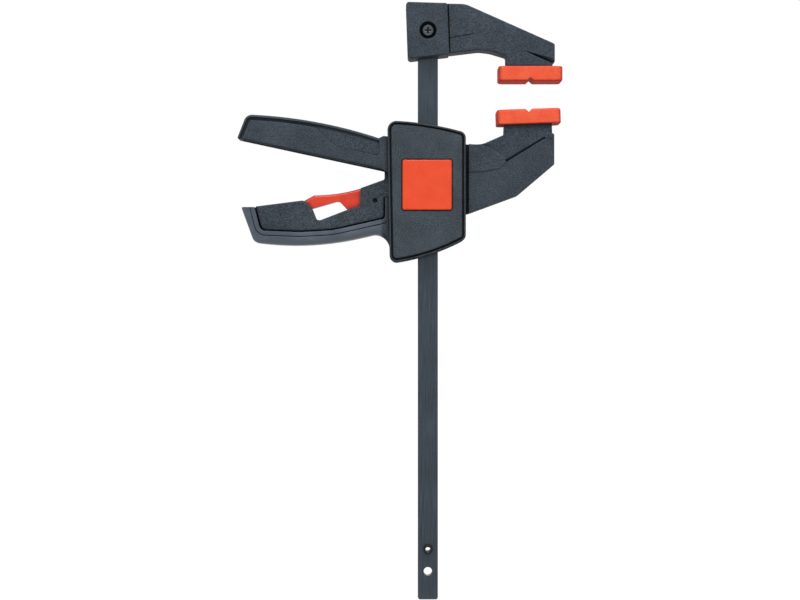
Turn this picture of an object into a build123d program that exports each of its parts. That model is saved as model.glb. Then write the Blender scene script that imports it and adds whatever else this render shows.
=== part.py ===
from build123d import *
import os
from math import cos, radians, sin, sqrt, tan

# One-handed bar clamp: a jaw fixed to the end of a steel bar, and a jaw that a trigger walks
# along the bar.  X runs across the clamp towards the pads, Y from front to back and Z up
# along the bar.  The origin is the middle of the fixed pad's clamping face.  Outlines are
# drawn on planes parallel to the front, with x measured from the bar's axis and y from the
# clamping face of the pad on the same jaw.

# Driving dimensions, in millimetres and degrees ------------------------------------------

# Reach, bar and fits
throat = 50.9  # bar's axis to the middle of the fixed pad
jaw_opening = 13.8  # between the middles of the two pads
bar_width = 10.0
bar_thickness = 5.0
bar_length = 292.0
bar_top = 34.0  # bar's upper end, above the fixed pad's face
bar_edge = 0.4
bar_end_chamfer = 0.8
bar_play = 0.2  # each side of the bar, in its guides
seat_gap = 0.05  # between pieces pressed together
pin_play = 0.05  # round a pin that a lever turns on

# Stop pin and hanging hole
stop_pin_from_end = 25.0
stop_pin_diameter = 4.5
stop_pin_wall = 0.9
stop_pin_length = 11.0
stop_pin_slit = 0.6
hang_hole_from_end = 14.0
hang_hole_diameter = 4.2

# Pads
pad_length = 31.8
pad_width = 20.0
pad_thickness = 7.4
pad_corner = 3.0
pad_edge = 1.0
pad_groove_width = 3.4
pad_groove_depth = 1.6
pad_tilt = 1.9  # moving pad leans in, and comes level as the jaws flex
pad_inset = 1.0  # moving pad sits this much nearer the bar
foot_length = 21.4
foot_width = 14.4
foot_depth = 3.6
foot_root = 1.5  # foot goes on this far into the neck

# Jaw arms
arm_depth = 16.0
neck_inner = 12.0  # neck's bar side, from the pad's middle
fixed_neck_outer = 10.9
moving_neck_outer = 11.4
neck_step = 1.3  # arm's end stands out from the neck
arm_end_round = 2.0
arm_edge = 0.7
arm_step = 0.25
fixed_facet_depth = 1.6  # of the sloping facets pressed into the arms' sides
moving_facet_depth = 1.3
ridge_depth = 0.4

# Fixed jaw
socket_depth = 19.0
socket_left = 11.0
socket_right = 10.1
socket_top = 39.3
socket_foot = 11.0
socket_draft = 0.5  # each side of the socket leans in by this
socket_edge = 0.7
socket_gap = 0.7  # fine gap between the socket and the arm
socket_gap_depth = 1.2
jaw_screw_height = 25.2
screw_diameter = 3.5
screw_head_diameter = 6.1
screw_head_height = 2.3
screw_cross = 3.4
screw_cross_width = 0.8
screw_cross_depth = 1.4
screw_sink_diameter = 8.6
screw_sink_depth = 3.2
nut_size = 6.0  # across flats
nut_thickness = 2.8
nut_sink_depth = 3.4

# Housing of the moving jaw
housing_depth = 24.0
cover_thickness = 3.0
housing_left = 20.2
housing_right = 18.7
housing_lean = 1.2
housing_top = -6.0
housing_top_drop = 6.0
housing_foot = -76.6
housing_foot_rise = 12.0
housing_crown = 1.3
housing_belly = 1.9
seam = 0.25  # covers stand out from the body between them
cover_edge = 0.7
cover_groove_inset = 0.9
cover_groove_width = 0.9
cover_groove_depth = 1.2
badge_width = 24.4
badge_height = 24.8
badge_corner = 1.0
badge_thickness = 1.3
badge_recess = 0.8
badge_gap = 0.3
badge_x = -0.5
badge_y = -37.9
relief_width = 1.6  # shadow gap between the covers and the arm
relief_depth = 4.6

# Cover screws
cover_screw_diameter = 2.9
cover_screw_head = 5.0
cover_screw_head_height = 1.8
cover_boss_diameter = 4.8
cover_boss_length = 6.0

# Trigger and drive
trigger_side_gap = 0.3  # to each cover
trigger_wall = 1.9
trigger_roof = 2.6
trigger_reach = 94.8
trigger_stroke = 16.0
trigger_edge = 1.1
trigger_channel_inset = 1.2  # channel that follows the rounded edge
trigger_channel_width = 1.6
trigger_channel_depth = 1.0
trigger_flank_depth = 0.8
grip_round = 4.2  # of the trigger's free end
pivot_x = 12.3
pivot_y = -33.9
pivot_pin_diameter = 3.5
pivot_pin_bite = 1.9  # how far the pin goes into each cover
pivot_boss_radius = 3.5
nose_reach = 20.3
nose_radius = 2.5
fork_gap = 0.8  # beside the bar
fork_reach = 27.8
contact_gap = 0.15
drive_plate_thickness = 3.0
drive_plate_left = 11.6
drive_plate_right = 8.3
drive_plate_width = 14.0
drive_spring_wire = 1.2
drive_spring_diameter = 14.4
drive_spring_turns = 3.0

# Inside of the housing
cavity_left = 17.4
cavity_right = 16.3
cavity_roof = -13.3
ledge_top = -48.2
ledge_thickness = 2.3
cavity_floor = -62.2

# Brake and release
fulcrum_x = -9.0
fulcrum_drop = 3.3
fulcrum_radius = 0.8
fulcrum_gap = 0.1
brake_tilt = 9.0
brake_plate_thickness = 2.5
brake_plate_width = 13.0
brake_tail = 7.8
brake_tail_width = 7.0
brake_reach = 21.6
brake_play = 0.1
brake_spring_wire = 0.7
brake_spring_diameter = 5.4
brake_spring_turns = 5.0
brake_spring_x = 10.2
brake_contact = 7.1  # fulcrum to the place where the release lever lifts the tail
release_x = -26.3
release_y = -45.3
release_pin_diameter = 2.4
release_pin_sink = 0.8
release_hub_radius = 3.6
release_edge = 1.4
release_depth = 8.0
release_arm_depth = 5.4
release_nose_radius = 1.3
release_play = 0.4

# Fixed handle and its inlay
handle_reach = 92.9
handle_top = -48.7
handle_tip_chamfer = 0.7
handle_heel_round = 4.0
insert_depth = 12.0
insert_gap = 0.35
insert_right = -21.6  # inlay ends here, outside the housing's wall
strip_top = -44.1  # and its neck crosses the wall above this
neck_top = -29.5
neck_hook = 46.5
neck_corner = 1.0
lip_reach = 1.05  # lips on the wall that cover the seam at the inlay's end
lip_thickness = 1.1
tongue_depth = 3.0
tongue_height = 1.3
rim_round = 3.4
rim_groove_inset = 2.3
rim_groove_width = 0.5
rim_groove_depth = 0.4

# Worked out from the above ----------------------------------------------------------------

bar_x = -throat
bar_bottom = bar_top - bar_length
stop_pin_height = bar_bottom + stop_pin_from_end
bar_hole_width = bar_width + 2 * bar_play
bar_hole_thickness = bar_thickness + 2 * bar_play
body_depth = housing_depth - 2 * cover_thickness
body_half = body_depth / 2
cover_face = housing_depth / 2
arm_half = arm_depth / 2
trigger_depth = body_depth - 2 * trigger_side_gap
moving_pad_x = throat - pad_inset
nose_rise = nose_reach * tan(radians(trigger_stroke / 2))
drive_plate_top = pivot_y + nose_rise - nose_radius - contact_gap
drive_plate_bottom = drive_plate_top - drive_plate_thickness
ledge_bottom = ledge_top - ledge_thickness
fulcrum_y = ledge_bottom - fulcrum_drop
cover_screw_places = [
    (-housing_left + 5.6, housing_top - 4.8),
    (housing_right - 5.4, housing_top - housing_top_drop - 5.5),
    (-housing_left + 6.3, housing_foot + 9.1),
    (bar_width / 2 + 4.6, cavity_floor - 2.85),
]
lean = radians(pad_tilt)
tilt = radians(brake_tilt)


def across(depth):
    """Plane parallel to the front, level with the fixed pad's face."""
    return Plane(origin=(bar_x, depth, 0), x_dir=(1, 0, 0), z_dir=(0, -1, 0))


def on_jaw(depth):
    """Plane parallel to the front, level with the moving pad's face."""
    return Plane(origin=(bar_x, depth, -jaw_opening), x_dir=(1, 0, 0), z_dir=(0, -1, 0))


def rounded(*corners):
    """Closed outline through corners given as (x, y, radius)."""
    points = [(x, y) for x, y, radius in corners]
    return FilletPolyline(*points, radius=[radius for x, y, radius in corners], close=True)


def behind_pad(along, behind):
    """Point of the moving jaw, along its pad from the middle and behind the face."""
    return (
        moving_pad_x + along * cos(lean) + behind * sin(lean),
        along * sin(lean) - behind * cos(lean),
    )


def on_brake(along, below):
    """Point on the tilted brake plate, along it from the fulcrum and below the fulcrum."""
    return (
        fulcrum_x + along * cos(tilt) + below * sin(tilt),
        fulcrum_y + along * sin(tilt) - below * cos(tilt),
    )


# Clamping faces, looking out of each pad
fixed_face = Plane(origin=(0, 0, 0), x_dir=(1, 0, 0), z_dir=(0, 0, -1))
moving_face = Plane(
    origin=(-pad_inset, 0, -jaw_opening),
    x_dir=(cos(lean), 0, sin(lean)),
    z_dir=(-sin(lean), 0, cos(lean)),
)


# Steel bar --------------------------------------------------------------------------------

with BuildPart() as bar:
    with BuildSketch(Plane.XY.offset(bar_bottom)):
        with Locations((bar_x, 0)):
            Rectangle(bar_width, bar_thickness)
    extrude(amount=bar_length)
    chamfer(bar.faces().sort_by(Axis.Z)[0].edges().filter_by(Axis.Y), bar_end_chamfer)
    chamfer(bar.edges().filter_by(Axis.Z), bar_edge)
    with BuildSketch(across(0)):
        with Locations((0, jaw_screw_height)):
            Circle(screw_diameter / 2 + 0.3)
        with Locations((0, stop_pin_height)):
            Circle(stop_pin_diameter / 2 + 0.02)
        with Locations((0, bar_bottom + hang_hole_from_end)):
            Circle(hang_hole_diameter / 2)
    extrude(amount=bar_thickness, both=True, mode=Mode.SUBTRACT)

# Slit spring pin that stops the moving jaw from coming off
with BuildPart() as stop_pin:
    with BuildSketch(across(0)):
        with Locations((0, stop_pin_height)):
            Circle(stop_pin_diameter / 2)
            Circle(stop_pin_diameter / 2 - stop_pin_wall, mode=Mode.SUBTRACT)
        with Locations((-stop_pin_diameter / 2, stop_pin_height)):
            Rectangle(stop_pin_diameter, stop_pin_slit, mode=Mode.SUBTRACT)
    extrude(amount=stop_pin_length / 2, both=True)


# Pads -------------------------------------------------------------------------------------


def jaw_pad(face):
    """Soft cap pressed over the foot of a jaw, built back from its clamping face."""
    outward = Axis(face.origin, face.z_dir)
    with BuildPart() as pad:
        with BuildSketch(face):
            RectangleRounded(pad_length, pad_width, pad_corner)
        extrude(amount=-pad_thickness)
        fillet(pad.faces().sort_by(outward)[-1].edges(), pad_edge)
        fillet(pad.faces().sort_by(outward)[0].edges(), pad_edge / 2)
        # groove across the face, for round work
        with BuildSketch(Plane(origin=face.origin, x_dir=face.x_dir, z_dir=face.y_dir)):
            with BuildLine():
                Polyline(
                    (-pad_groove_width / 2, 0),
                    (pad_groove_width / 2, 0),
                    (0, pad_groove_depth),
                    close=True,
                )
            make_face()
        extrude(amount=pad_width, both=True, mode=Mode.SUBTRACT)
        with BuildSketch(face.offset(-pad_thickness)):
            Rectangle(foot_length + 2 * seat_gap, foot_width + 2 * seat_gap)
        extrude(amount=foot_depth + seat_gap, mode=Mode.SUBTRACT)
    return pad


fixed_pad = jaw_pad(fixed_face)
moving_pad = jaw_pad(moving_face)


# Fixed jaw --------------------------------------------------------------------------------

neck_left = throat - neck_inner
neck_right = throat + fixed_neck_outer
jaw_end = neck_right + neck_step

with BuildPart() as fixed_jaw:
    with BuildSketch(across(0)):
        with BuildLine():
            rounded(
                (-socket_left + 3, socket_top - 0.4, 0),
                (18.6, socket_top - 0.9, 10),
                (jaw_end, 18.6, 0),
                (jaw_end, 9.9, 0),
                (neck_right, 9.3, 0),
                (neck_right, pad_thickness, 0),
                (neck_left, pad_thickness, 0),
                (neck_left, 12.6, 1.2),
                (31.0, 15.0, 12),
                (25.4, 15.7, 12),
                (-socket_left + 3, socket_foot + 0.6, 0),
            )
        make_face()
    extrude(amount=arm_half, both=True)
    end_edges = fixed_jaw.edges().filter_by(Axis.Z).group_by(Axis.X)[-1]
    fillet(end_edges.group_by(SortBy.LENGTH)[-1], arm_end_round)
    arm_edges = fixed_jaw.faces().filter_by(Axis.Y).edges()
    arm_edges = arm_edges.filter_by(Axis.Z, reverse=True)
    arm_edges = arm_edges.filter_by_position(Axis.X, bar_x + socket_right, jaw_end)
    fillet(arm_edges.filter_by_position(Axis.Z, pad_thickness + 0.1, socket_top), arm_edge)
    for side in (-1, 1):
        # facet above the neck that faces down and widens towards the end
        for depth, low in ((arm_half, 10.8), (arm_half - fixed_facet_depth, 8.6)):
            with BuildSketch(across(side * depth)):
                with BuildLine():
                    Polyline((47.2, 15.4), (jaw_end + 1, low), (jaw_end + 1, 7.6), close=True)
                make_face()
        loft(ruled=True, mode=Mode.SUBTRACT)
        # faint ridge beside the socket
        for depth, drop in ((arm_half, 0.0), (arm_half - ridge_depth, 1.1)):
            with BuildSketch(across(side * depth)):
                with BuildLine():
                    Polyline(
                        (socket_right - 1, 21.9 - drop),
                        (26.0, 24.2),
                        (socket_right - 1, 20.5),
                        close=True,
                    )
                make_face()
        loft(ruled=True, mode=Mode.SUBTRACT)
        # fine gap beside the socket
        with BuildSketch(across(side * (arm_half - socket_gap_depth))):
            with BuildLine():
                Polyline(
                    (0, socket_top),
                    (socket_right - socket_draft + socket_gap, socket_top),
                    (socket_right + socket_draft + socket_gap, socket_foot),
                    (0, socket_foot),
                    close=True,
                )
            make_face()
        extrude(amount=-side * arm_half, mode=Mode.SUBTRACT)
    with BuildSketch(fixed_face.offset(foot_depth - pad_thickness)):
        Rectangle(foot_length, foot_width)
    extrude(amount=-foot_depth - foot_root)
    # socket for the bar, thicker than the arm
    with BuildSketch(across(-socket_depth / 2)):
        with BuildLine():
            rounded(
                (-socket_left, socket_top, 1.6),
                (socket_right - socket_draft, socket_top - 0.6, 1.0),
                (socket_right + socket_draft, socket_foot + 2.3, 1.0),
                (-socket_left + 2 * socket_draft, socket_foot, 1.6),
            )
        make_face()
    extrude(amount=-socket_depth)
    flats = fixed_jaw.faces().filter_by(Axis.Y).group_by(Axis.Y)
    fillet(flats[0].edges() + flats[-1].edges(), socket_edge)
    with BuildSketch(Plane.XY):
        with Locations((bar_x, 0)):
            Rectangle(bar_width + 2 * seat_gap, bar_thickness + 2 * seat_gap)
    extrude(amount=bar_top + seat_gap, mode=Mode.SUBTRACT)
    # screw hole, its sink in front and the nut's pocket behind
    with BuildSketch(across(0)):
        with Locations((0, jaw_screw_height)):
            Circle(screw_diameter / 2 + 0.1)
    extrude(amount=socket_depth, both=True, mode=Mode.SUBTRACT)
    with BuildSketch(across(-socket_depth / 2)):
        with Locations((0, jaw_screw_height)):
            Circle(screw_sink_diameter / 2)
    extrude(amount=-screw_sink_depth, mode=Mode.SUBTRACT)
    with BuildSketch(across(socket_depth / 2)):
        with Locations((0, jaw_screw_height)):
            RegularPolygon(nut_size / 2 + 0.1, 6, major_radius=False)
    extrude(amount=nut_sink_depth, mode=Mode.SUBTRACT)

screw_seat = -socket_depth / 2 + screw_sink_depth
nut_seat = socket_depth / 2 - nut_sink_depth

with BuildPart() as fixed_jaw_screw:
    with BuildSketch(across(screw_seat)):
        with Locations((0, jaw_screw_height)):
            Circle(screw_head_diameter / 2)
    extrude(amount=screw_head_height)
    fillet(fixed_jaw_screw.faces().sort_by(Axis.Y)[0].edges(), 0.8)
    with BuildSketch(across(screw_seat)):
        with Locations((0, jaw_screw_height)):
            Circle(screw_diameter / 2)
    extrude(amount=screw_seat - nut_seat - nut_thickness)
    with BuildSketch(across(screw_seat - screw_head_height)):
        with Locations((0, jaw_screw_height)):
            Rectangle(screw_cross, screw_cross_width)
            Rectangle(screw_cross_width, screw_cross)
    extrude(amount=-screw_cross_depth, mode=Mode.SUBTRACT)

with BuildPart() as fixed_jaw_nut:
    with BuildSketch(across(nut_seat)):
        with Locations((0, jaw_screw_height)):
            RegularPolygon(nut_size / 2, 6, major_radius=False)
            Circle(screw_diameter / 2 + 0.02, mode=Mode.SUBTRACT)
    extrude(amount=-nut_thickness)


# Outlines shared by the moving jaw's pieces ---------------------------------------------------


def housing_outline(inset=0.0):
    """Housing and covers seen from the front, drawn in by inset."""
    top_left = (-housing_left, housing_top)
    top_right = (housing_right, housing_top - housing_top_drop)
    foot_left = (-housing_left + housing_lean, housing_foot)
    foot_right = (housing_right, housing_foot + housing_foot_rise)
    with BuildSketch() as outline:
        with BuildLine():
            Line(foot_left, top_left)
            SagittaArc(top_left, top_right, housing_crown)
            Line(top_right, foot_right)
            SagittaArc(foot_right, foot_left, housing_belly)
        make_face()
        fillet(outline.vertices().sort_by(Axis.Y)[-1], 4.5)
        fillet(outline.vertices().sort_by(Axis.Y)[0], 3.5)
        fillet(outline.vertices().group_by(Axis.X)[-1], 3.5)
        if inset:
            offset(amount=-inset)
    return outline.sketch


def inlay_outline(grow=0.0):
    """Fixed handle's inlay with its window filled in, drawn out by grow."""
    with BuildSketch() as outline:
        with BuildLine():
            rounded(
                (-handle_reach + 6.9, handle_top + 0.4, 0.6),
                (-handle_reach + 10.0, -60.1, 3.0),
                (-63.5, -60.9, 60),
                (-47.5, -60.0, 40),
                (insert_right, -54.2, 1.5),
                (insert_right, -34.9, 0),
                (-33.5, -39.2, 0.5),
                (-62.6, -45.3, 1.0),
            )
        make_face()
        if grow:
            offset(amount=grow)
    return outline.sketch


# Moving jaw: housing, arm and the outer half of the handle in one piece -------------------------

pivot = (pivot_x, pivot_y)
bend = (38.9, -26.3)  # where the arm's facets meet
facet_end = (58.3, -14.4)
wall = insert_right + insert_gap
wall_back = -housing_left + 5.0  # inside the housing

with BuildPart() as jaw_body:
    # arm to the pad
    with BuildSketch(on_jaw(0)):
        with BuildLine():
            end_x = behind_pad(moving_neck_outer, pad_thickness)[0] + neck_step
            rounded(
                (housing_right - 5, -17.0, 0),
                (26.5, -17.7, 12),
                (moving_pad_x - neck_inner, -12.7, 1.2),
                (*behind_pad(-neck_inner, pad_thickness), 0),
                (*behind_pad(moving_neck_outer, pad_thickness), 0),
                (end_x - neck_step + 0.1, -11.9, 0),
                (end_x, -12.5, 0),
                (end_x, -27.4, 0),
                (44.7, -42.8, 4.0),
                (housing_right - 5, -54.2, 0),
            )
        make_face()
    extrude(amount=arm_half, both=True)
    end_edges = jaw_body.edges().filter_by(Axis.Z).group_by(Axis.X)[-1]
    fillet(end_edges.group_by(SortBy.LENGTH)[-1], arm_end_round)
    arm_edges = jaw_body.faces().filter_by(Axis.Y).edges()
    arm_edges = arm_edges.filter_by(Axis.Z, reverse=True)
    arm_edges = arm_edges.filter_by_position(Axis.X, bar_x + housing_right, bar_x + end_x)
    foot_top = arm_edges.vertices().sort_by(Axis.Z)[-1].Z
    arm_edges = arm_edges.filter_by_position(Axis.Z, housing_foot - jaw_opening, foot_top - neck_step)
    fillet(arm_edges, arm_edge)
    # rim of the fixed handle, rounded before the housing joins it
    with BuildSketch(on_jaw(0)) as rim:
        with BuildLine():
            tip = (-handle_reach, handle_top)
            heel = (-handle_reach + 6.4, -66.2)
            belly_end = (-36.0, -64.6)
            flare_start = (-26.8, -62.5)
            flare_end = (-housing_left + 1.0, -68.5)
            ThreePointArc(heel, (-61.0, -67.6), belly_end)
            Line(belly_end, flare_start)
            ThreePointArc(flare_start, (-21.9, -64.0), flare_end)
            Polyline(flare_end, (wall_back, flare_end[1]), (wall_back, handle_top), tip, heel)
        make_face()
        fillet(rim.vertices().sort_by_distance(heel)[0], handle_heel_round)
        chamfer(rim.vertices().sort_by_distance(tip)[0], handle_tip_chamfer)
    extrude(amount=body_half, both=True)
    outer = jaw_body.faces().filter_by(Axis.Y).edges()
    outer = outer.filter_by_position(Axis.Z, -200, handle_top - jaw_opening - 1.0)
    fillet(outer.filter_by_position(Axis.X, -200, bar_x - housing_left + 0.5), rim_round)
    # seat of the inlay, and the fine line that follows it
    with BuildSketch(on_jaw(0)):
        add(inlay_outline(insert_gap))
    extrude(amount=body_depth, both=True, mode=Mode.SUBTRACT)
    for side in (-1, 1):
        with BuildSketch(on_jaw(side * (body_half - rim_groove_depth))):
            add(inlay_outline(rim_groove_inset + rim_groove_width))
            add(inlay_outline(rim_groove_inset), mode=Mode.SUBTRACT)
        extrude(amount=-side * body_half, mode=Mode.SUBTRACT)
    # groove for the inlay's tongue
    with BuildSketch(on_jaw(0)):
        add(inlay_outline(tongue_height + insert_gap))
        with Locations((-57, -58)):
            Rectangle(52 + insert_gap, 10, mode=Mode.INTERSECT)
    extrude(amount=tongue_depth / 2 + seat_gap, both=True, mode=Mode.SUBTRACT)
    for side in (-1, 1):
        # facet under the neck that faces down and widens towards the bend
        for depth, width in ((arm_half, 1.6), (arm_half - moving_facet_depth, 0.1)):
            with BuildSketch(on_jaw(side * depth)):
                with BuildLine():
                    Polyline(
                        bend,
                        facet_end,
                        (facet_end[0] - 0.3 * width, facet_end[1] + 0.5 * width),
                        (bend[0] - 0.4 * width, bend[1] + 0.9 * width),
                        close=True,
                    )
                make_face()
        loft(ruled=True, mode=Mode.SUBTRACT)
        # facet beside it that faces up and runs out to nothing
        for depth, near, far in ((arm_half, 0.0, 8.0), (arm_half - ridge_depth, 1.2, 1.4)):
            with BuildSketch(on_jaw(side * depth)):
                with BuildLine():
                    Polyline(
                        (27.2, -17.4),
                        (bend[0] - 0.9 + 0.58 * near, bend[1] + 1.2 + 0.82 * near),
                        (bend[0] - 0.9 + 0.58 * far, bend[1] + 1.2 + 0.82 * far),
                        close=True,
                    )
                make_face()
        loft(ruled=True, mode=Mode.SUBTRACT)
        # arm's lower half lies a little lower than its root
        with BuildSketch(on_jaw(side * (arm_half - arm_step))):
            with BuildLine():
                Polyline(
                    (housing_right - 5, -31.7),
                    (28.3, -30.9),
                    (35.7, -29.3),
                    bend,
                    facet_end,
                    (end_x + 5, facet_end[1]),
                    (end_x + 5, housing_foot),
                    (housing_right - 5, housing_foot),
                    close=True,
                )
            make_face()
        extrude(amount=-side * arm_half, mode=Mode.SUBTRACT)
        # shadow gap beside the cover
        with BuildSketch(on_jaw(side * (arm_half - relief_depth))):
            with Locations((housing_right + relief_width / 2 - 2, -35)):
                Rectangle(relief_width + 4, 60)
        extrude(amount=-side * arm_half, mode=Mode.SUBTRACT)
    with BuildSketch(moving_face.offset(foot_depth - pad_thickness)):
        Rectangle(foot_length, foot_width)
    extrude(amount=-foot_depth - foot_root)
    # housing, and the strip that closes the inlay's end
    with BuildSketch(on_jaw(0)):
        add(housing_outline(seam))
    extrude(amount=body_half, both=True)
    with BuildSketch(on_jaw(0)):
        with Locations((wall, strip_top)):
            Rectangle(cavity_left, 12.0, align=(Align.MIN, Align.MAX))
    extrude(amount=body_half, both=True)
    # room for the trigger's fork and the drive, open to the handle
    with BuildSketch(on_jaw(0)):
        with BuildLine():
            Polyline(
                (-housing_left - 5, cavity_roof),
                (-cavity_left + 2.4, cavity_roof),
                (cavity_right, cavity_roof - 16.2),
                (cavity_right, ledge_top),
                (-cavity_left, ledge_top),
                (-cavity_left, strip_top),
                (-housing_left - 5, strip_top),
                close=True,
            )
        make_face()
        # room for the brake
        with BuildLine():
            Polyline(
                (-cavity_left, ledge_bottom),
                (cavity_right, ledge_bottom),
                (cavity_right, cavity_floor),
                (-cavity_left, cavity_floor),
                close=True,
            )
        make_face()
    extrude(amount=body_half, both=True, mode=Mode.SUBTRACT)
    # ridge that the brake plate tilts on, and the peg of its spring
    with BuildSketch(on_jaw(0)):
        with BuildLine():
            Polyline(
                (fulcrum_x - 2 * fulcrum_radius, ledge_bottom),
                (fulcrum_x + 2 * fulcrum_radius, ledge_bottom),
                (fulcrum_x + fulcrum_radius, fulcrum_y),
                (fulcrum_x - fulcrum_radius, fulcrum_y),
                close=True,
            )
        make_face()
        with Locations((fulcrum_x, fulcrum_y)):
            Circle(fulcrum_radius)
    extrude(amount=brake_plate_width / 2, both=True)
    with BuildSketch(Plane.XY.offset(cavity_floor - jaw_opening)):
        with Locations((bar_x + brake_spring_x, 0)):
            Circle(brake_spring_diameter / 2 - brake_spring_wire - 0.4)
    extrude(amount=2.2)
    # passage for the bar
    with BuildSketch(Plane.XY.offset(-jaw_opening)):
        with Locations((bar_x, 0)):
            Rectangle(bar_hole_width, bar_hole_thickness)
    extrude(amount=housing_foot - 5, mode=Mode.SUBTRACT)
    # slot that the release lever's arm reaches through
    with BuildSketch(on_jaw(0)):
        with BuildLine():
            Polyline(
                (wall - 4.2, -46.0),
                (-cavity_left + 0.1, -46.0),
                (-cavity_left + 0.1, cavity_floor + 0.6),
                (-cavity_left - 1.8, cavity_floor + 1.0),
                (-cavity_left - 5.2, cavity_floor + 2.6),
                (wall - 4.2, cavity_floor + 5.8),
                close=True,
            )
        make_face()
    extrude(amount=release_arm_depth / 2 + release_play, both=True, mode=Mode.SUBTRACT)
    # lips beside the slot, which close the seam at the inlay's end
    for side in (-1, 1):
        with BuildSketch(on_jaw(side * (release_arm_depth / 2 + release_play))):
            with Locations((wall + 0.1, strip_top - 0.9)):
                Rectangle(lip_reach + 0.1, 9.0, align=(Align.MAX, Align.MAX))
        extrude(amount=-side * lip_thickness)
    # cover screws' holes, and sinks for the front cover's bosses
    with BuildSketch(on_jaw(body_half)):
        with Locations(*cover_screw_places):
            Circle(cover_screw_diameter / 2 + 0.15)
    extrude(amount=body_depth, mode=Mode.SUBTRACT)
    with BuildSketch(on_jaw(-body_half)):
        with Locations(*cover_screw_places):
            Circle(cover_boss_diameter / 2 + 0.15)
    extrude(amount=-cover_boss_length - 0.2, mode=Mode.SUBTRACT)


# Covers and badge plate ---------------------------------------------------------------------


def jaw_cover(side):
    """Side plate of the housing; side is -1 in front and 1 behind."""
    with BuildPart() as cover:
        with BuildSketch(on_jaw(side * body_half)):
            add(housing_outline())
        extrude(amount=-side * cover_thickness)
        outside = cover.faces().filter_by(Axis.Y).sort_by(Axis.Y)[-1 if side > 0 else 0]
        fillet(outside.edges(), cover_edge)
        # blind hole for the end of the trigger's pin
        with BuildSketch(on_jaw(side * body_half)):
            with Locations(pivot):
                Circle(pivot_pin_diameter / 2 + 0.02)
        extrude(amount=-side * (pivot_pin_bite + seat_gap), mode=Mode.SUBTRACT)
    return cover


front_shell = jaw_cover(-1)
rear_shell = jaw_cover(1)

with BuildPart() as front_cover:
    add(front_shell.part)
    # fine line that frames the face
    with BuildSketch(on_jaw(-cover_face)):
        add(housing_outline(cover_groove_inset))
        add(housing_outline(cover_groove_inset + cover_groove_width), mode=Mode.SUBTRACT)
    extrude(amount=-cover_groove_depth, mode=Mode.SUBTRACT)
    with BuildSketch(on_jaw(-cover_face)):
        with Locations((badge_x, badge_y)):
            RectangleRounded(
                badge_width + 2 * badge_gap,
                badge_height + 2 * badge_gap,
                badge_corner + badge_gap,
            )
    extrude(amount=-badge_recess, mode=Mode.SUBTRACT)
    with BuildSketch(on_jaw(-body_half)):
        with Locations(*cover_screw_places):
            Circle(cover_boss_diameter / 2)
    extrude(amount=-cover_boss_length)
    with BuildSketch(on_jaw(-body_half + cover_boss_length)):
        with Locations(*cover_screw_places):
            Circle(cover_screw_diameter / 2 + seat_gap)
    extrude(amount=cover_boss_length - 0.5, mode=Mode.SUBTRACT)

with BuildPart() as rear_cover:
    add(rear_shell.part)
    with BuildSketch(on_jaw(cover_face)):
        with Locations(*cover_screw_places):
            Circle(cover_screw_diameter / 2 + 0.15)
    extrude(amount=cover_thickness, mode=Mode.SUBTRACT)
    with BuildSketch(on_jaw(cover_face)):
        with Locations(*cover_screw_places):
            Circle(cover_screw_head / 2 + 0.15)
    extrude(amount=cover_screw_head_height, mode=Mode.SUBTRACT)

with BuildPart() as cover_screws:
    with BuildSketch(on_jaw(cover_face)):
        with Locations(*cover_screw_places):
            Circle(cover_screw_head / 2)
    extrude(amount=cover_screw_head_height)
    with BuildSketch(on_jaw(cover_face - cover_screw_head_height)):
        with Locations(*cover_screw_places):
            Circle(cover_screw_diameter / 2)
    extrude(amount=housing_depth - cover_thickness - cover_screw_head_height - 0.8)
    with BuildSketch(on_jaw(cover_face)):
        with Locations(*cover_screw_places):
            Rectangle(0.8 * screw_cross, screw_cross_width)
            Rectangle(screw_cross_width, 0.8 * screw_cross)
    extrude(amount=0.6 * cover_screw_head_height, mode=Mode.SUBTRACT)

with BuildPart() as badge_plate:
    with BuildSketch(on_jaw(-cover_face + badge_recess)):
        with Locations((badge_x, badge_y)):
            RectangleRounded(badge_width, badge_height, badge_corner)
    extrude(amount=badge_thickness)
    fillet(badge_plate.faces().sort_by(Axis.Y)[0].edges(), 0.3)


# Fixed handle's inlay -----------------------------------------------------------------------

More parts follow.
